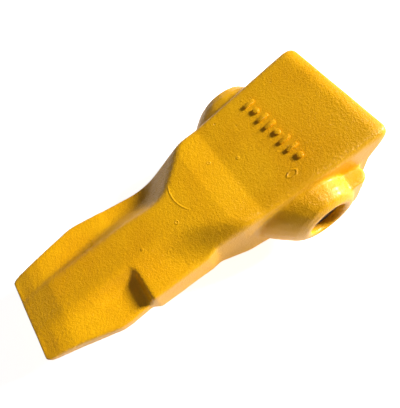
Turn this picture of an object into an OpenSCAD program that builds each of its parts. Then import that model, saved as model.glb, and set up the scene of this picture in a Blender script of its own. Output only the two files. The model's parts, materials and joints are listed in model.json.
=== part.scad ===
// Side-locked tip for an excavator bucket: one cast wedge with a nose pocket,
// two rotating locks and the two plastic bushings that hold them.
// X runs forward to the digging edge, Y to the left, Z up. Millimetres.
// The origin is the centre of the open rear end. Top and bottom faces are alike, and the
// left side carries a thick wing that the right side doesn't have.

/* [Casting] */
// overall length, rear edge to digging edge
tip_len = 353; // [280:1:430]
// width of the rear end over the side walls
rear_w = 131.6; // [100:1:160]
// height of the rear end before its edges roll down
rear_h = 114; // [90:1:140]
// width of the digging edge
edge_w = 87; // [60:1:120]
// thickness of the digging edge
edge_t = 8; // [4:0.5:12]
// widest part of the blade
blade_w = 118; // [90:1:150]
// width across the neck, just behind the wings
neck_w = 106; // [80:1:130]
// width across the wings at their front
wing_w = 115; // [90:1:150]
// half height of the spine where the rear block ends
crest_h = 34.5; // [26:0.5:44]
// half height of the spine where the chisel bevel starts
bevel_h = 12.2; // [9:0.1:18]
// length of the chisel bevel
bevel_len = 33; // [20:1:50]
// width of the flat top of the spine
spine_w = 35; // [20:1:60]
// half height of the raised wing shelf
shelf_h = 16.5; // [10:0.5:22]
// half thickness of the blade on either side of the spine
floor_h = 6.6; // [4:0.1:9]
// how far behind the digging edge the wing shelf ends
shelf_back = 107; // [80:1:130]
// length of the wing shelf
wing_len = 60; // [40:1:80]
// how far behind the digging edge the blade is widest
blade_back = 72; // [50:1:95]
// length of the rear block, up to where its top flattens
block_len = 126; // [105:1:150]
// length over which the top rolls down to the rear edge
lip_len = 15; // [8:1:20]
// how far it rolls down
lip_drop = 4; // [2:0.5:7]
// length of the flatter band ahead of the block
band_len = 28; // [15:1:45]
// largest rounding of the rear block's long edges
edge_round = 6; // [2:0.5:9]
// how far ahead of the block's top its straight sides end
scoop_gap = 22; // [10:1:35]
// how far each side has drawn in there
side_draft = 8.8; // [4:0.2:14]

/* [Ears] */
// width over the outer faces of the two ears
ear_w = 170.6; // [160:0.2:210]
// wall of an ear over the lock cavity
ear_wall = 4.5; // [3:0.5:10]
// reach of the flat lug behind the lock axis
lug_back = 50; // [44:1:60]
// half height of the lug
lug_h = 20; // [14:0.5:28]
// width of the rim round the ear hole
rim_w = 7.5; // [5:0.5:12]
// reach of the ear ahead of the lock axis
ear_front = 58; // [55:1:80]
// distance of the lock axis from the rear end
lock_x = 75; // [56:1:90]

/* [Nose pocket] */
// pocket width at the rear end
nose_w = 102; // [80:1:130]
// pocket height at the rear end
nose_h = 92; // [70:1:110]
// pocket depth
nose_len = 150; // [110:1:180]
// pocket width at its flat end
nose_end_w = 70; // [50:1:90]
// pocket height at its flat end
nose_end_h = 34; // [24:1:50]
// depth of the cut in the rear edge of each side wall
notch_len = 14; // [8:1:20]
// height of that cut at its bottom
notch_h = 42; // [30:1:60]

/* [Lock] */
// outside diameter of the lock skirt
lock_d = 48; // [40:0.5:60]
// diameter of the seat that closes round the nose post
seat_d = 29; // [20:0.5:34]
// width of the opening in the skirt, the bushing and the wall
gate_w = 26; // [18:0.5:32]
// depth of the seat
seat_len = 12; // [10:0.5:20]
// thickness of the plate between seat and head
web_t = 6; // [4:0.5:10]
// diameter of the head that shows in the ear
head_d = 38; // [30:0.5:50]
// how far the head lies below the face of the ear
head_sunk = 8; // [1:0.5:12]
// square of the drive socket
drive_w = 19.4; // [12.9:0.1:26]
// depth of the drive socket
drive_len = 11; // [8:0.5:13]
// length of the groove in the head that shows which way the lock is open
cue_len = 5; // [3:0.5:8]
// width of that groove
cue_w = 3.2; // [2:0.2:5]
// depth of that groove
cue_deep = 1.4; // [0.6:0.2:3]
// metal left between that groove and the side of the head
cue_in = 1.5; // [1:0.1:3]
// turning range of the lock, in degrees
turn = 180; // [120:5:180]

/* [Bushing and fits] */
// wall of the plastic bushing
bush_t = 5.64; // [3:0.01:9]
// radial running clearance between lock and bushing
run_gap = 0.06; // [0.02:0.01:0.1]
// radial gap between bushing and casting
seat_gap = 0.3; // [0.1:0.05:0.6]
// end gap between the lock and its cavity
run_in = 0.4; // [0.2:0.1:1]
// radial gap round the head
head_gap = 0.5; // [0.3:0.1:1.5]
// how far the bushing starts outward of the lock's inner end
bush_in = 0.5; // [0.2:0.1:2]
// depth of the stop track in the skirt
track_deep = 2.7; // [1.5:0.1:5]
// width of the stop track
track_w = 5; // [4:0.5:7]
// where the track starts, from the lock's inner end
track_in = 2.5; // [2:0.5:4]
// gap between the stop lug and the floor and the sides of its track
lug_gap = 0.5; // [0.2:0.1:1]
// turning play left at each end of the track, in degrees
turn_play = 1; // [0.5:0.5:3]
// half angle of the stop lug
lug_half = 9; // [5:1:15]

/* [Foundry tally] */
// number of raised marks
marks = 8; // [3:1:9]
// spacing of the marks
mark_gap = 10.6; // [8:0.2:12]
// distance of the row from the rear end
tally_x = 71; // [50:1:100]
// sideways shift of the row
tally_y = -3; // [-10:1:10]
// length of a bar
bar_len = 11.5; // [8:0.5:15]
// width of a bar
bar_wide = 3.8; // [2.4:0.2:6]
// radius of a pip
pip_r = 3.2; // [2:0.1:5]
// height of the marks above the face
mark_rise = 1.4; // [0.5:0.1:3]

/* [Hidden] */

cast_col = [0.86, 0.6, 0.02];
steel_col = [0.55, 0.55, 0.56];
plastic_col = [0.12, 0.12, 0.13];

lock_r = lock_d / 2;
bore_r = lock_r + run_gap;
bush_r = bore_r + bush_t;
cave_r = bush_r + seat_gap;
head_r = head_d / 2;
hole_r = head_r + head_gap;
boss_r = cave_r + ear_wall;
rim_r = hole_r + rim_w;
// how far a cutter runs past the face it opens
over = 1;
// inner end of the cuts for the lock, inside the nose pocket all along
cut_y = nose_end_w / 2 - 5;
// the nose pocket tapers, so the lock stands clear of it at the rear of the cavity
wall_y = nose_w / 2 - (nose_w - nose_end_w) / 2 * (lock_x - cave_r) / nose_len + run_in;
web_y = wall_y + seat_len;
step_y = web_y + web_t + run_in;
face_y = ear_w / 2;
head_y = face_y - head_sunk;

crest_x = block_len;
bevel_x = tip_len - bevel_len;
shelf_x = tip_len - shelf_back;
wing_x = shelf_x - wing_len;
wide_x = tip_len - blade_back;
scoop_x = crest_x + scoop_gap;

// left half width of the casting along its length, with the wing
outline = [
    [0, rear_w / 2 - 4],
    [1.2, rear_w / 2 - 1.8],
    [3, rear_w / 2 - 0.6],
    [7, rear_w / 2],
    [scoop_x, rear_w / 2 - side_draft],
    [wing_x - 9, neck_w / 2],
    [wing_x, wing_w / 2 - 2],
    [shelf_x, wing_w / 2],
    [shelf_x + 7, wing_w / 2 - 1.5],
    [wide_x, blade_w / 2],
    [bevel_x + 2, edge_w / 2 + 5.5],
    [tip_len - 4, edge_w / 2 + 0.8],
    [tip_len, edge_w / 2 - 2],
];

// right half width, waisted where the left side has its wing
waist = [
    [0, rear_w / 2 - 4],
    [1.2, rear_w / 2 - 1.8],
    [3, rear_w / 2 - 0.6],
    [7, rear_w / 2],
    [scoop_x, rear_w / 2 - side_draft],
    [wing_x, neck_w / 2 + 0.5],
    [wing_x + 24, neck_w / 2 - 1.5],
    [wing_x + 45, neck_w / 2 + 0.5],
    [wide_x, blade_w / 2],
    [bevel_x + 2, edge_w / 2 + 5.5],
    [tip_len - 4, edge_w / 2 + 0.8],
    [tip_len, edge_w / 2 - 2],
];

// height of the spine along its length
spine = [
    [0, rear_h / 2],
    [crest_x, crest_h],
    [crest_x + band_len, crest_h - 1.2],
    [bevel_x, bevel_h],
    [tip_len, edge_t / 2],
];

// smooth step from 0 at a to 1 at b
function ramp(v, a, b) =
    let (t = min(1, max(0, (v - a) / (b - a)))) t * t * (3 - 2 * t);
// larger of two heights, blended over k
function soft_max(a, b, k) =
    let (h = max(0, k - abs(a - b)) / k) max(a, b) + h * h * k / 4;
function soft_min(a, b, k) = -soft_max(-a, -b, k);

function half_w(x, side) = lookup(x, side > 0 ? outline : waist);
// the top rolls down to the rear edge
function rear_round(x) = lip_drop * pow(max(0, lip_len - x) / lip_len, 2);
function spine_h(x) = lookup(x, spine) - rear_round(x);

// blade surface beside the spine: side 1 carries the wing shelf, side -1 doesn't
function floor_z(x, side) =
    let (
        flat = floor_h + 1.6 * ramp(x, shelf_x + 20, bevel_x),
        tall = side > 0 ? shelf_h : flat - 0.6,
        shelf = tall + (flat - tall) * ramp(x, shelf_x, shelf_x + 6)
    ) min(shelf, lookup(x, spine) - 1.2);

// concave slope that falls forward and outward from the end of the rear block
function scoop_z(x, y, side) =
    let (
        fall = side > 0 ? 0.44 : 0.68,
        lean = side > 0 ? 0.45 : 0.62
    ) crest_h - 3 - (x - scoop_x) * fall - (y - half_w(scoop_x, side)) * lean;

// slope on either side of the spine
function flank_z(x, y, side) =
    let (
        edge = spine_w / 2 + (side > 0 ? 1 : -3 * ramp(x, shelf_x - 5, shelf_x - 45)),
        // steeper just ahead of the wing shelf, so that the shelf ends in an even step
        hollow = ramp(x, shelf_x, shelf_x + 6) - ramp(x, shelf_x + 12, shelf_x + 60),
        steep = side > 0 ? 0.68 + 0.5 * hollow : 0.95
    ) lookup(x, spine) - (y - edge) * steep;

function skin_z(x, y) =
    let (
        side = y < 0 ? -1 : 1,
        ay = abs(y),
        low = soft_max(floor_z(x, side), flank_z(x, ay, side), 3.5),
        body = soft_max(low, scoop_z(x, ay, side), 8),
        top = spine_h(x),
        mix = ramp(x, crest_x - 6, crest_x + 8),
        z = top + (soft_min(top, body, 2.5) - top) * mix,
        in_edge = half_w(x, side) - ay,
        rad = edge_round - 3.5 * ramp(x, scoop_x - 10, wing_x),
        roll = rad - sqrt(rad * rad - pow(max(0, rad - in_edge), 2))
    ) max(edge_t / 2, z - roll);

stations_x = concat(
    [0, 1, 2.5, 5, 8, 11, lip_len, 40, 80],
    [crest_x - 6, crest_x, crest_x + 6],
    [for (i = [1 : 12]) crest_x + 6 + i * (wing_x + 6 - crest_x) / 12],
    [for (i = [1 : 4]) wing_x + 12 + i * (wing_len - 15) / 5],
    [shelf_x - 3, shelf_x, shelf_x + 2, shelf_x + 4, shelf_x + 6.5],
    [for (i = [1 : 6]) shelf_x + 6.5 + i * (bevel_x - shelf_x - 11) / 6],
    [bevel_x, bevel_x + 4, bevel_x + 16, tip_len - 4, tip_len - 1.5, tip_len]
);
half_s = [0.1, 0.22, 0.29, 0.35, 0.41, 0.47, 0.54, 0.63, 0.73, 0.83, 0.9, 0.945, 0.975, 0.99, 1];
stations_s = concat([for (i = [len(half_s) - 1 : -1 : 0]) -half_s[i]], [0], half_s);

// outer skin of the casting without ears: a grid of heights above the middle plane,
// the same grid mirrored below it, and strips that close the four sides
module skin() {
    nx = len(stations_x);
    ns = len(stations_s);
    n = nx * ns;
    e = (nx - 1) * ns;
    f = ns - 1;
    top = [
        for (x = stations_x) for (s = stations_s)
            let (y = s * half_w(x, s)) [x, y, skin_z(x, y)]
    ];
    bottom = [for (p = top) [p[0], p[1], -p[2]]];
    faces = concat(
        [for (i = [0 : nx - 2]) for (j = [0 : ns - 2]) let (a = i * ns + j) [a, a + 1, a + ns]],
        [for (i = [0 : nx - 2]) for (j = [0 : ns - 2]) let (a = i * ns + j) [a + 1, a + ns + 1, a + ns]],
        [for (i = [0 : nx - 2]) for (j = [0 : ns - 2]) let (a = n + i * ns + j) [a + 1, a, a + ns]],
        [for (i = [0 : nx - 2]) for (j = [0 : ns - 2]) let (a = n + i * ns + j) [a + ns + 1, a + 1, a + ns]],
        [for (i = [0 : nx - 2]) let (a = i * ns) [a, a + ns, n + a]],
        [for (i = [0 : nx - 2]) let (a = i * ns) [a + ns, n + a + ns, n + a]],
        [for (i = [0 : nx - 2]) let (a = i * ns + f) [a + ns, a, n + a]],
        [for (i = [0 : nx - 2]) let (a = i * ns + f) [n + a + ns, a + ns, n + a]],
        [for (j = [0 : ns - 2]) [j + 1, j, n + j]],
        [for (j = [0 : ns - 2]) [j + 1, n + j, n + j + 1]],
        [for (j = [0 : ns - 2]) [e + j, e + j + 1, n + e + j]],
        [for (j = [0 : ns - 2]) [e + j + 1, n + e + j + 1, n + e + j]]
    );
    polyhedron(concat(top, bottom), faces, convexity = 8);
}

// outlines of the boss from its face inward: depth below the face, reach behind the lock axis,
// reach ahead of it, half height
boss_slices = [
    [0, rim_r + 1, rim_r, rim_r - 2.5],
    [4, boss_r - 2, rim_r + 9, boss_r - 4.5],
    [12, boss_r + 1, ear_front - 13, boss_r - 1],
    [24, boss_r + 1, ear_front, boss_r],
    [40, boss_r - 1, ear_front + 6, boss_r - 3],
];
// plan of the rear end of the lug: distance ahead of its end, depth below the boss face
lug_plan = [[9, 5.5], [4, 7.5], [1, 11.5], [0, 16]];

// thin slice of the boss, round at both ends
module ear_slice(depth, back, front, tall) {
    translate([lock_x, face_y - depth, 0])
        rotate([90, 0, 0])
            linear_extrude(0.2)
                polygon([
                    for (a = [7.5 : 15 : 352.5])
                        [cos(a) * (cos(a) > 0 ? front : back), sin(a) * tall]
                ]);
}

// outside of the left ear: a boss that bulges from the side of the casting round the lock,
// and the flat lug behind it
module ear() {
    hull()
        for (slice = boss_slices)
            ear_slice(slice[0], slice[1], slice[2], slice[3]);
    end_x = lock_x - lug_back;
    linear_extrude(2 * lug_h, center = true)
        polygon(concat(
            [[lock_x, face_y - lug_plan[0][1]]],
            [for (p = lug_plan) [end_x + p[0], face_y - p[1]]],
            [[end_x + 2, rear_w / 2 - 1], [end_x + 12, wall_y], [lock_x, wall_y]]
        ));
}

// hollow for the adapter nose
module nose_pocket() {
    intersection() {
        linear_extrude(2 * nose_h, center = true)
            polygon([
                [-over, -nose_w / 2], [0, -nose_w / 2], [nose_len, -nose_end_w / 2],
                [nose_len, nose_end_w / 2], [0, nose_w / 2], [-over, nose_w / 2],
            ]);
        rotate([90, 0, 0])
            linear_extrude(2 * nose_w, center = true)
                polygon([
                    [-over, -nose_h / 2], [0, -nose_h / 2], [nose_len, -nose_end_h / 2],
                    [nose_len, nose_end_h / 2], [0, nose_h / 2], [-over, nose_h / 2],
                ]);
    }
}

// round bar along the lock axis from one distance to another
module bar(from, to, radius) {
    translate([lock_x, from, 0])
        rotate([-90, 0, 0])
            cylinder(h = to - from, r = radius, $fn = 96);
}

// everything cut for one lock, on the left side
module lock_cuts() {
    bar(cut_y, step_y, cave_r);
    bar(step_y - over, face_y + over, hole_r);
    translate([-over, cut_y, -gate_w / 2])
        cube([lock_x + over, web_y - cut_y, gate_w]);
    // rear edge of the side wall is cut back between top and bottom plates
    rotate([90, 0, 0])
        translate([0, 0, -rear_w])
            linear_extrude(rear_w - cut_y)
                polygon([
                    [-over, -nose_h / 2], [over, -nose_h / 2], [notch_len, -notch_h / 2],
                    [notch_len, notch_h / 2], [over, nose_h / 2], [-over, nose_h / 2],
                ]);
}

// raised foundry tally: plain bars and pips in a row across the top face
module tally() {
    slope = atan((rear_h / 2 - crest_h) / crest_x);
    translate([tally_x, tally_y, lookup(tally_x, spine)])
        rotate([0, slope, 0])
            for (i = [0 : marks - 1])
                translate([0, (i - (marks - 1) / 2) * mark_gap, 0])
                    if (i % 3 == 1)
                        cylinder(h = 2 * mark_rise, r = pip_r, center = true, $fn = 20);
                    else
                        cube([bar_len, bar_wide, 2 * mark_rise], center = true);
}

module tip_casting() {
    color(cast_col)
        difference() {
            union() {
                skin();
                ear();
                mirror([0, 1, 0]) ear();
                tally();
            }
            nose_pocket();
            lock_cuts();
            mirror([0, 1, 0]) lock_cuts();
        }
}

// way out to the rear for the post, through one side of a bushing or a lock
module gate(wide) {
    translate([lock_x - wide - over, wall_y - over, -gate_w / 2])
        cube([wide + over, seat_len + over, gate_w]);
}

// arc round the lock axis: start and sweep in degrees, inner radius, height, place along the axis
module arc(start, sweep, inner, thick, tall, place) {
    translate([lock_x, place, 0])
        rotate([-90, 0, 0])
            rotate([0, 0, start])
                rotate_extrude(angle = sweep, $fn = 96)
                    translate([inner, 0])
                        square([thick, tall]);
}

// C-shaped bushing with its stop lug, left side
module bushing() {
    difference() {
        bar(wall_y + bush_in, step_y, bush_r);
        bar(wall_y - over, step_y + over, bore_r);
        gate(bush_r);
    }
    lug_in = lock_r - track_deep + lug_gap;
    arc(turn / 2 - lug_half, 2 * lug_half, lug_in, bore_r + bush_t / 3 - lug_in,
        track_w - 2 * lug_gap, wall_y + track_in + lug_gap);
}

// rotating lock, open to the rear, left side
module lock() {
    half_track = turn / 2 + turn_play + lug_half;
    difference() {
        union() {
            bar(wall_y, web_y + web_t, lock_r);
            bar(web_y, head_y, head_r);
        }
        bar(wall_y - over, web_y, seat_d / 2);
        gate(lock_r);
        translate([lock_x - drive_w / 2, head_y - drive_len, -drive_w / 2])
            cube([drive_w, drive_len + over, drive_w]);
        translate([lock_x - head_r + cue_in, head_y - cue_deep, -cue_w / 2])
            cube([cue_len, cue_deep + over, cue_w]);
        arc(-half_track, 2 * half_track, lock_r - track_deep, track_deep + over,
            track_w, wall_y + track_in);
    }
}

module bushing_left() {
    color(plastic_col) bushing();
}

module bushing_right() {
    color(plastic_col) mirror([0, 1, 0]) bushing();
}

module lock_left() {
    color(steel_col) lock();
}

module lock_right() {
    color(steel_col) mirror([0, 1, 0]) lock();
}

tip_casting();
bushing_left();
bushing_right();
lock_left();
lock_right();
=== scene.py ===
# %% [markdown]
# # A cast bucket tooth and its two locks
#
# A bucket tooth is a hollow steel wedge that slides over a nose on the bucket's lip. It is poured in
# sand, fettled, painted and sold with its locks in place. The measured solids come from the CAD frame.
# Here each of them gets the surface that a foundry and a paint shop would leave on it.

# %% Open the frame
import json
import math

import bmesh
import bpy
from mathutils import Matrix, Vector, noise


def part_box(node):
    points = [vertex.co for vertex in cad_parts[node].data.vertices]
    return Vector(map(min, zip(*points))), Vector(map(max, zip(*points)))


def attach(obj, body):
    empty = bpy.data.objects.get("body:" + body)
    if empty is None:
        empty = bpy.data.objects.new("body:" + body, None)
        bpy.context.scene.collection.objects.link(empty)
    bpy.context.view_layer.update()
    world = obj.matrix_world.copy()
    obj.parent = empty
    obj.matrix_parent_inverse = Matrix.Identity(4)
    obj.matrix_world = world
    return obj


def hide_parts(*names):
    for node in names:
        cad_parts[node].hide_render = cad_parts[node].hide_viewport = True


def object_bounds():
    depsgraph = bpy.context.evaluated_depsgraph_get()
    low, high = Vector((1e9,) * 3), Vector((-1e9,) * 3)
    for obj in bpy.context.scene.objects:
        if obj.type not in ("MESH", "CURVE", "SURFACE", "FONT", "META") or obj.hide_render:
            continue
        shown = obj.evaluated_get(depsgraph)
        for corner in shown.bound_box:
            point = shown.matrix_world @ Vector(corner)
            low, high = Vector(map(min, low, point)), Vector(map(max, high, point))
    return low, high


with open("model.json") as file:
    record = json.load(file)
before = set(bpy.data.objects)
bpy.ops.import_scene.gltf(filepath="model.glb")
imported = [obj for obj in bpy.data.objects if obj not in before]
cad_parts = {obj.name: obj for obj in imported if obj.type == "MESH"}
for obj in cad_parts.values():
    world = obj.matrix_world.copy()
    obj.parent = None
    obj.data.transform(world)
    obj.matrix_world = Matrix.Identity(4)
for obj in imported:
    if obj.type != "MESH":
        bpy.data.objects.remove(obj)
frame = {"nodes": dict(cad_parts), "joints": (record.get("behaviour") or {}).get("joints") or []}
cad_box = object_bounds()
MM = 0.001
nodes = frame["nodes"]
print("CAD box in mm:", [[round(c / MM, 1) for c in corner] for corner in cad_box])

# %% [markdown]
# ## Places that the frame gives
#
# The locks turn about one axis across the ears. The axis is read from the frame's joint, so the bore mask
# below follows the model if the model changes. The casting's own box gives its ends.

# %% Read the driving places
lock_joint = frame["joints"][0]
lock_axis = Vector(lock_joint["pos_m"])
tip_low, tip_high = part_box("tip_casting")
print("lock axis at x =", round(lock_axis.x / MM, 1), "mm, ears reach y =", round(tip_high[1] / MM, 1))


# %% [markdown]
# ## A clean copy of a measured solid
#
# The measured solids arrive as loose triangles, with every corner stored several times. An edge that
# isn't shared can't be rounded, so the corners are merged first. The copy keeps its place in its mesh,
# and the object that carries it stays at the origin.

# %% Copy and finish helpers
def merged(node):
    """A bmesh of a measured solid with its doubled corners merged."""
    bm = bmesh.new()
    bm.from_mesh(nodes[node].data)
    bmesh.ops.remove_doubles(bm, verts=bm.verts, dist=0.01 * MM)
    return bm


def piece(bm, name):
    """Turn a bmesh into an object at the origin."""
    mesh = bpy.data.meshes.new(name)
    bm.to_mesh(mesh)
    bm.free()
    made = bpy.data.objects.new(name, mesh)
    bpy.context.scene.collection.objects.link(made)
    return made


def baked(source, name):
    """The object's mesh with its modifiers applied, as a bmesh."""
    graph = bpy.context.evaluated_depsgraph_get()
    mesh = bpy.data.meshes.new_from_object(source.evaluated_get(graph))
    mesh.name = name
    bm = bmesh.new()
    bm.from_mesh(mesh)
    bpy.data.objects.remove(source)
    return bm


# %% [markdown]
# ## The casting: from a sharp model to a sand-cast skin
#
# Molten steel can't hold a sharp corner against sand, so every edge of the real tip is rounded by a few
# millimetres, inside and out. A bevel on each edge would need hundreds of clean edge loops. A voxel
# remesh makes one even skin over the whole solid instead, and smoothing that skin rounds the corners as
# the mould does. The digging edge and the bores are finished surfaces, so they are smoothed less.

# %% Remesh the casting
VOXEL = 1.45 * MM
BORE_RADIUS = 31.5 * MM
BORE_START = 30 * MM
BODY_ROUNDS = 4
EDGE_ROUNDS = 2
rough = piece(merged("tip_casting"), "rough_casting")
shell = rough.modifiers.new("even_skin", "REMESH")
shell.mode = "VOXEL"
shell.voxel_size = VOXEL
skin = baked(rough, "even_skin")
print("even skin:", len(skin.verts), "corners,", len(skin.faces), "faces")

# %% Where the skin may be smoothed
EDGE_ZONE = 26 * MM


def radius_to_lock(point):
    return math.hypot(point.x - lock_axis.x, point.z - lock_axis.z)


def in_bore(point):
    between = BORE_START < abs(point.y) < tip_high[1] - 2 * MM
    return between and radius_to_lock(point) < BORE_RADIUS


def in_tally(point):
    near = 62 * MM < point.x < 80 * MM and abs(point.y) < 46 * MM
    return near and point.z > 38 * MM


def near_edge(point):
    return point.x > tip_high[0] - EDGE_ZONE


def smooth(bm, corners, rounds):
    for _ in range(rounds):
        bmesh.ops.smooth_vert(
            bm, verts=corners, factor=0.5, use_axis_x=True, use_axis_y=True, use_axis_z=True
        )


# %% Level the skin under the tally
def level_under_tally(bm):
    """Push what stands above the top face back down to it; the marks return later, crisp."""
    near = [f for f in bm.faces if in_tally(f.calc_center_median())]
    up = sum((f.normal * f.calc_area() for f in near), Vector())
    up.normalize()
    zone = [v for v in bm.verts if in_tally(v.co)]
    heights = sorted(v.co.dot(up) for v in zone)
    base = heights[len(heights) // 4]
    for corner in zone:
        corner.co -= up * max(0.0, corner.co.dot(up) - base)
    return zone


skin.normal_update()
tally = level_under_tally(skin)

# %% Smooth the skin
body = [v for v in skin.verts if not (in_bore(v.co) or near_edge(v.co))]
edge = [v for v in skin.verts if near_edge(v.co)]
smooth(skin, body, BODY_ROUNDS)
smooth(skin, edge, EDGE_ROUNDS)
print("levelled", len(tally), "corners, smoothed", len(body), "of the body and", len(edge), "of the edge")

# %% [markdown]
# ## Waves and scars of the mould
#
# A sand mould is never flat: its walls swell by a few tenths of a millimetre, and a crumb of sand that
# falls in leaves a pit. The waves are real geometry here, because light slides along them. Every move
# goes inward, so the tip never grows past its measured size.

# %% Push the waves into the skin
WAVE = 0.34 * MM
skin.normal_update()
for corner in skin.verts:
    if in_bore(corner.co):
        continue
    slow = noise.noise(corner.co * 38)
    quick = noise.noise(corner.co * 120 + Vector((3, 1, 4)))
    corner.co -= corner.normal * WAVE * (0.5 + 0.38 * slow + 0.16 * quick)
print("waves up to", WAVE / MM, "mm deep")

# %% [markdown]
# ## Crisp tally marks
#
# The marks on a casting are letter-sized blocks set into the pattern, sharper than anything else on it.
# The even skin is too coarse for them, so it was levelled there. The blocks themselves are taken from the
# measured solid: every face that stands above the top face, with its edges bevelled.

# %% Take the marks from the solid
MARK_SINK = 1.2 * MM
MARK_BEVEL = 0.4 * MM


def tally_blocks(sink, bevel):
    bm = merged("tip_casting")
    near = [f for f in bm.faces if in_tally(f.calc_center_median())]
    up = sum((f.normal * f.calc_area() for f in near), Vector()).normalized()
    heights = sorted(v.co.dot(up) for f in near for v in f.verts)
    middle_height = (heights[len(heights) // 4] + heights[-1]) / 2
    keep = {f for f in near if max(v.co.dot(up) for v in f.verts) > middle_height}
    bmesh.ops.delete(bm, geom=[f for f in bm.faces if f not in keep], context="FACES")
    for corner in bm.verts:
        if corner.co.dot(up) < middle_height:
            corner.co -= up * sink
    bmesh.ops.dissolve_limit(bm, angle_limit=math.radians(2), verts=bm.verts, edges=bm.edges)
    sharp = [e for e in bm.edges if e.is_manifold and e.calc_face_angle(0) > math.radians(15)]
    bmesh.ops.bevel(
        bm,
        geom=sharp,
        offset=bevel,
        offset_type="OFFSET",
        segments=2,
        profile=0.5,
        affect="EDGES",
        material=-1,
    )
    bm.normal_update()
    return bm


blocks = tally_blocks(MARK_SINK, MARK_BEVEL)
block_mesh = bpy.data.meshes.new("blocks")
blocks.to_mesh(block_mesh)
print("tally marks:", len(blocks.faces), "faces")
blocks.free()
skin.from_mesh(block_mesh)

# %% Finish the casting
for face in skin.faces:
    face.smooth = True
casting = piece(skin, "casting")
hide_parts("tip_casting")
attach(casting, "casting")
print("casting:", len(casting.data.polygons), "faces")


# %% [markdown]
# ## Locks and bushings: machined and moulded edges
#
# The locks are forged and turned, the bushings are moulded, and both have small even chamfers that catch
# a line of light. A Bevel modifier that picks edges by angle puts the same chamfer on every sharp edge.

# %% Round the small parts
def chamfered(node, name, width):
    bm = merged(node)
    flat = math.radians(0.5)
    bmesh.ops.dissolve_limit(bm, angle_limit=flat, verts=bm.verts, edges=bm.edges)
    made = piece(bm, name)
    edges = made.modifiers.new("small_edges", "BEVEL")
    edges.width = width
    edges.segments = 2
    edges.limit_method = "ANGLE"
    edges.angle_limit = math.radians(32)
    edges.harden_normals = False
    for face in made.data.polygons:
        face.use_smooth = True
    corners = made.modifiers.new("flat_faces", "WEIGHTED_NORMAL")
    corners.keep_sharp = True
    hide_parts(node)
    return made


small_parts = {}
for side in ("left", "right"):
    lock = chamfered(f"lock_{side}", f"turning_lock_{side}", 0.5 * MM)
    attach(lock, f"{side}_lock")
    bushing = chamfered(f"bushing_{side}", f"lock_bushing_{side}", 0.4 * MM)
    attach(bushing, "casting")
    small_parts[side] = (lock, bushing)
print("small parts:", [p.name for pair in small_parts.values() for p in pair])


# %% [markdown]
# ## Grain that several finishes share
#
# Sand grain, orange peel in paint and the skin of a forging are the same kind of roughness at different
# sizes. One node group makes it: coarse and fine noise, added by weight, come out as a height.

# %% Node helpers
def group_tree(name, inputs, outputs):
    tree = bpy.data.node_groups.new(name, "ShaderNodeTree")
    for label, value in inputs:
        socket = tree.interface.new_socket(label, in_out="INPUT", socket_type="NodeSocketFloat")
        socket.default_value = value
    for label, kind in outputs:
        tree.interface.new_socket(label, in_out="OUTPUT", socket_type=kind)
    return tree, tree.nodes.new("NodeGroupInput"), tree.nodes.new("NodeGroupOutput")


def add(tree, kind, **settings):
    node = tree.nodes.new(kind)
    for key, value in settings.items():
        setattr(node, key, value)
    return node


def math_node(tree, operation, first, second=None, clamp=False):
    node = add(tree, "ShaderNodeMath", operation=operation, use_clamp=clamp)
    for socket, value in zip(node.inputs, (first, second)):
        if value is None:
            continue
        if isinstance(value, (int, float)):
            socket.default_value = value
        else:
            tree.links.new(value, socket)
    return node.outputs[0]


def blend(tree, amount, first, second):
    node = add(tree, "ShaderNodeMix", data_type="RGBA")
    tree.links.new(amount, node.inputs["Factor"])
    for socket, value in ((node.inputs[6], first), (node.inputs[7], second)):
        if isinstance(value, tuple):
            socket.default_value = value
        else:
            tree.links.new(value, socket)
    return node.outputs[2]


# %% The grain group
def grain_group():
    tree, given, made = group_tree(
        "surface_grain",
        [("Coarse Size", 140.0), ("Fine Size", 520.0), ("Fine Share", 0.4)],
        [("Height", "NodeSocketFloat"), ("Patches", "NodeSocketFloat")],
    )
    place = add(tree, "ShaderNodeTexCoord").outputs["Object"]
    heights = []
    for size, detail in (("Coarse Size", 5.0), ("Fine Size", 2.0)):
        bumps = add(tree, "ShaderNodeTexNoise")
        bumps.inputs["Detail"].default_value = detail
        bumps.inputs["Roughness"].default_value = 0.66
        tree.links.new(place, bumps.inputs["Vector"])
        tree.links.new(given.outputs[size], bumps.inputs["Scale"])
        heights.append(bumps.outputs["Fac"])
    fine = math_node(tree, "MULTIPLY", heights[1], given.outputs["Fine Share"])
    tree.links.new(math_node(tree, "ADD", heights[0], fine), made.inputs["Height"])
    patches = add(tree, "ShaderNodeTexNoise")
    patches.inputs["Scale"].default_value = 17.0
    patches.inputs["Detail"].default_value = 4.0
    tree.links.new(place, patches.inputs["Vector"])
    tree.links.new(patches.outputs["Fac"], made.inputs["Patches"])
    return tree


grain = grain_group()
print("grain group outputs:", [s.name for s in grain.interface.items_tree if s.in_out == "OUTPUT"])


# %% [markdown]
# ## Materials
#
# Each material starts from the Principled shader. Its fixed numbers are set on the shader itself, and
# only colour, roughness and height change over the surface.

# %% Start a material
def new_material(name, **fixed):
    material = bpy.data.materials.new(name)
    material.use_nodes = True
    tree = material.node_tree
    shader = tree.nodes["Principled BSDF"]
    for label, value in fixed.items():
        shader.inputs[label.replace("_", " ")].default_value = value
    return material, tree, shader


def grainy(tree, coarse, fine, share):
    node = add(tree, "ShaderNodeGroup", node_tree=grain)
    node.inputs["Coarse Size"].default_value = coarse
    node.inputs["Fine Size"].default_value = fine
    node.inputs["Fine Share"].default_value = share
    return node


def bump(tree, shader, height, strength, distance):
    node = add(tree, "ShaderNodeBump")
    node.inputs["Strength"].default_value = strength
    node.inputs["Distance"].default_value = distance
    tree.links.new(height, node.inputs["Height"])
    tree.links.new(node.outputs["Normal"], shader.inputs["Normal"])


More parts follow.
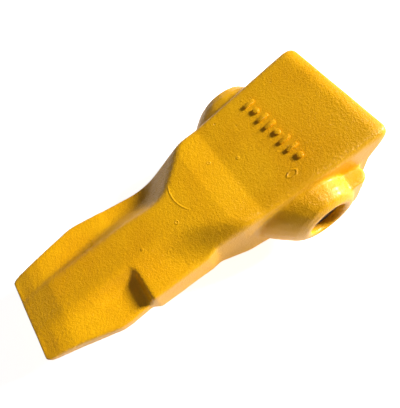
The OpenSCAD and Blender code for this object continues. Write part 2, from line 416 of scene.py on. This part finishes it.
def ramp(tree, value, low, high, out_low=0.0, out_high=1.0):
    node = add(tree, "ShaderNodeMapRange")
    tree.links.new(value, node.inputs["Value"])
    for label, number in (("From Min", low), ("From Max", high), ("To Min", out_low), ("To Max", out_high)):
        node.inputs[label].default_value = number
    return node.outputs["Result"]


# %% [markdown]
# ### Paint over cast steel
#
# One thick coat of gloss enamel is sprayed over the rough casting. It follows the sand grain, pools a
# little, and leaves pinholes where the sand was coarse. The spray doesn't reach far into the nose
# pocket, so the brown cast skin shows there.

# %% Marks that the mould left
RING_SHARE = 0.7
LINE_SHARE = 0.75


def ring(tree, distance, radius, width):
    """1 on a thin line at this distance from a centre, fading to 0 on both sides."""
    off = math_node(tree, "ABSOLUTE", math_node(tree, "SUBTRACT", distance, radius))
    return ramp(tree, off, 0.0, width, 1.0, 0.0)


def flat_distance(tree, x, y, centre_x, centre_y, squeeze=1.0):
    across = math_node(tree, "MULTIPLY", math_node(tree, "SUBTRACT", x, centre_x), squeeze)
    along = math_node(tree, "SUBTRACT", y, centre_y)
    squares = [math_node(tree, "POWER", leg, 2.0) for leg in (across, along)]
    return math_node(tree, "SQRT", math_node(tree, "ADD", *squares))


def mould_marks():
    """Bubble rings, one seam where two streams of steel met, and one oval stamp edge."""
    outputs = [("Height", "NodeSocketFloat"), ("Pits", "NodeSocketFloat")]
    tree, _, made = group_tree("mould_marks", [], outputs)
    place = add(tree, "ShaderNodeTexCoord").outputs["Object"]
    axes = add(tree, "ShaderNodeSeparateXYZ")
    tree.links.new(place, axes.inputs[0])
    x, y, z = (axes.outputs[i] for i in range(3))
    bubbles = add(tree, "ShaderNodeTexVoronoi")
    bubbles.inputs["Scale"].default_value = 62.0
    tree.links.new(place, bubbles.inputs["Vector"])
    chosen = ramp(tree, bubbles.outputs["Color"], 0.7, 0.72)
    rings = math_node(tree, "MULTIPLY", ring(tree, bubbles.outputs["Distance"], 0.105, 0.045), chosen)
    pits = ramp(tree, bubbles.outputs["Distance"], 0.03, 0.07, 1.0, 0.0)
    pits = math_node(tree, "MULTIPLY", pits, ramp(tree, bubbles.outputs["Color"], 0.3, 0.28))
    seam = ring(tree, flat_distance(tree, x, y, 150 * MM, -8 * MM), 33 * MM, 1.1 * MM)
    seam = math_node(tree, "MULTIPLY", seam, ramp(tree, y, -24 * MM, -20 * MM))
    seam = math_node(tree, "MULTIPLY", seam, ramp(tree, y, 8 * MM, 12 * MM, 1.0, 0.0))
    seam = math_node(tree, "MULTIPLY", seam, ramp(tree, x, 160 * MM, 162 * MM))
    stamp = ring(tree, flat_distance(tree, x, y, 87 * MM, 43 * MM, 0.55), 2.7 * MM, 0.9 * MM)
    on_top = ramp(tree, z, 0.0, 5 * MM)
    lines = math_node(tree, "MULTIPLY", math_node(tree, "ADD", seam, stamp), on_top)
    rings = math_node(tree, "MULTIPLY", rings, RING_SHARE)
    raised = math_node(tree, "ADD", rings, math_node(tree, "MULTIPLY", lines, LINE_SHARE))
    tree.links.new(math_node(tree, "SUBTRACT", raised, pits), made.inputs["Height"])
    tree.links.new(pits, made.inputs["Pits"])
    return tree


marks = mould_marks()
print("mould marks:", len(marks.nodes), "nodes")


# %% Where the spray doesn't reach
SIDE_TAPER = 0.1067
TOP_TAPER = 0.1933


def pocket_depth(tree, axes, patches):
    """1 on walls deep inside the nose pocket, 0 outside, with a ragged edge between."""
    x, y, z = (axes.outputs[i] for i in range(3))
    ragged = math_node(tree, "MULTIPLY", patches, 24 * MM)
    deep = ramp(tree, math_node(tree, "ADD", x, ragged), 14 * MM, 40 * MM)
    side = math_node(tree, "ABSOLUTE", y)
    tall = math_node(tree, "ABSOLUTE", z)
    wide = math_node(tree, "ADD", side, math_node(tree, "MULTIPLY", x, SIDE_TAPER))
    high = math_node(tree, "ADD", tall, math_node(tree, "MULTIPLY", x, TOP_TAPER))
    narrow = ramp(tree, wide, 53 * MM, 54 * MM, 1.0, 0.0)
    low = ramp(tree, high, 48 * MM, 49 * MM, 1.0, 0.0)
    end = ramp(tree, x, 151 * MM, 152 * MM, 1.0, 0.0)
    walls = math_node(tree, "MULTIPLY", narrow, low)
    return math_node(tree, "MULTIPLY", math_node(tree, "MULTIPLY", walls, end), deep)


# %% Cast paint
YELLOW = (0.9, 0.44, 0.001, 1.0)
DEEP_YELLOW = (0.82, 0.37, 0.001, 1.0)
CAST_SKIN = (0.085, 0.05, 0.032, 1.0)
PIT_BROWN = (0.35, 0.15, 0.004, 1.0)
COAT = 0.15


def cast_paint():
    material, tree, shader = new_material("cast_paint", Specular_IOR_Level=0.22, Coat_Roughness=0.2)
    texture = grainy(tree, 430.0, 1000.0, 0.6)
    place = add(tree, "ShaderNodeTexCoord").outputs["Object"]
    axes = add(tree, "ShaderNodeSeparateXYZ")
    tree.links.new(place, axes.inputs[0])
    flaws = add(tree, "ShaderNodeGroup", node_tree=marks)
    pit = flaws.outputs["Pits"]
    patches = ramp(tree, texture.outputs["Patches"], 0.35, 0.65)
    paint = blend(tree, patches, DEEP_YELLOW, YELLOW)
    paint = blend(tree, math_node(tree, "MULTIPLY", pit, 0.6), paint, PIT_BROWN)
    inside = pocket_depth(tree, axes, texture.outputs["Patches"])
    paint = blend(tree, inside, paint, CAST_SKIN)
    tree.links.new(paint, shader.inputs["Base Color"])
    rough = ramp(tree, texture.outputs["Patches"], 0.3, 0.7, 0.26, 0.36)
    rough = math_node(tree, "ADD", rough, math_node(tree, "MULTIPLY", inside, 0.4))
    tree.links.new(rough, shader.inputs["Roughness"])
    coat = math_node(tree, "SUBTRACT", COAT, math_node(tree, "MULTIPLY", inside, COAT))
    tree.links.new(coat, shader.inputs["Coat Weight"])
    height = math_node(tree, "ADD", texture.outputs["Height"], flaws.outputs["Height"])
    bump(tree, shader, height, 0.9, 0.7 * MM)
    return material


# %% Bare steel and moulded plastic
FORGED_DARK = (0.12, 0.1, 0.085, 1.0)
WORN_BRIGHT = (0.3, 0.28, 0.25, 1.0)
PLASTIC_BLACK = (0.03, 0.03, 0.033, 1.0)
PLASTIC_DUST = (0.09, 0.08, 0.07, 1.0)


def lock_steel():
    material, tree, shader = new_material("lock_steel", Metallic=1.0)
    texture = grainy(tree, 300.0, 900.0, 0.5)
    worn = ramp(tree, texture.outputs["Patches"], 0.38, 0.62)
    colour = blend(tree, worn, FORGED_DARK, WORN_BRIGHT)
    tree.links.new(colour, shader.inputs["Base Color"])
    rough = ramp(tree, texture.outputs["Patches"], 0.3, 0.7, 0.5, 0.3)
    tree.links.new(rough, shader.inputs["Roughness"])
    bump(tree, shader, texture.outputs["Height"], 0.25, 0.25 * MM)
    return material


def bushing_plastic():
    material, tree, shader = new_material("bushing_plastic")
    texture = grainy(tree, 500.0, 1500.0, 0.5)
    dusty = ramp(tree, texture.outputs["Patches"], 0.4, 0.75, 0.0, 0.5)
    tree.links.new(blend(tree, dusty, PLASTIC_BLACK, PLASTIC_DUST), shader.inputs["Base Color"])
    rough = ramp(tree, texture.outputs["Patches"], 0.3, 0.7, 0.45, 0.62)
    tree.links.new(rough, shader.inputs["Roughness"])
    bump(tree, shader, texture.outputs["Height"], 0.2, 0.15 * MM)
    return material


casting.data.materials.append(cast_paint())
steel = lock_steel()
plastic = bushing_plastic()
for lock, bushing in small_parts.values():
    lock.data.materials.append(steel)
    bushing.data.materials.append(plastic)
print("materials:", sorted(m.name for m in bpy.data.materials if m.users))

# %% [markdown]
# ## Floor and light
#
# The tip lies on a plain white light table, which glows a little and so washes out most of the shadow.
# One soft light stands low behind the tip, to its winged side, and rakes along the top face: flat faces
# glow and slopes that fall forward go darker. The room is pale near the floor and dim overhead, so the
# paint keeps its full colour on top and only the upright sides mirror something white.

# %% Floor
floor_mesh = bmesh.new()
bmesh.ops.create_grid(floor_mesh, x_segments=1, y_segments=1, size=6.0)
bmesh.ops.translate(floor_mesh, verts=floor_mesh.verts, vec=(0, 0, cad_box[0][2]))
floor = piece(floor_mesh, "floor")
floor_paint, floor_tree, floor_shader = new_material("pale_floor", Roughness=0.8)
floor_shader.inputs["Base Color"].default_value = (0.9, 0.9, 0.9, 1.0)
floor_shader.inputs["Emission Strength"].default_value = 1.0
seen = add(floor_tree, "ShaderNodeLightPath").outputs["Is Camera Ray"]
table_glow = blend(floor_tree, seen, (0.24, 0.24, 0.24, 1.0), (0.85, 0.85, 0.85, 1.0))
floor_tree.links.new(table_glow, floor_shader.inputs["Emission Color"])
floor.data.materials.append(floor_paint)


# %% Lights
def soft_light(name, place, aim, size, power):
    light = bpy.data.lights.new(name, "AREA")
    light.shape = "DISK"
    light.size = size
    light.energy = power
    lamp = bpy.data.objects.new(name, light)
    lamp.location = place
    lamp.rotation_euler = (Vector(aim) - Vector(place)).to_track_quat("-Z", "Y").to_euler()
    bpy.context.scene.collection.objects.link(lamp)
    return lamp


middle = (Vector(tip_low) + Vector(tip_high)) / 2


def from_around(distance, azimuth, height):
    """A place round the tip: azimuth 180 is behind it, height is the angle above the floor."""
    turn, lift = math.radians(azimuth), math.radians(height)
    flat = distance * math.cos(lift)
    return middle + Vector((flat * math.cos(turn), flat * math.sin(turn), distance * math.sin(lift)))


KEY_SIZE = 1.0
KEY_POWER = 368.0
soft_light("key", from_around(4.0, 168, 26), middle, KEY_SIZE, KEY_POWER)
world = bpy.data.worlds.new("sky")
bpy.context.scene.world = world
world.use_nodes = True
sky = world.node_tree
ray = add(sky, "ShaderNodeSeparateXYZ")
sky.links.new(add(sky, "ShaderNodeTexCoord").outputs["Generated"], ray.inputs[0])
glow = ramp(sky, ray.outputs[2], 0.1, 0.8, 0.2, 0.13)
sky.links.new(glow, sky.nodes["Background"].inputs["Strength"])
sky.nodes["Background"].inputs["Color"].default_value = (1.0, 1.0, 1.0, 1.0)
bpy.context.scene.view_settings.view_transform = "Standard"

# %% [markdown]
# ## Camera
#
# A short lens close above the tip gives the strong perspective of a hand-held product shot: the rear end
# looks bigger than the blade. Place and turn are plain numbers, worked out once from the tip's outline.

# %% Camera
lens = bpy.data.cameras.new("camera")
lens.lens = 35.3
lens.sensor_width = 36.0
lens.clip_start = 0.01
camera = bpy.data.objects.new("camera", lens)
camera.location = (0.2140, 0.1719, 0.3514)
camera.rotation_euler = [math.radians(a) for a in (26.13, 8.54, 146.38)]
bpy.context.scene.collection.objects.link(camera)
bpy.context.scene.camera = camera
print("camera", round((camera.location - middle).length, 3), "m from the tip")
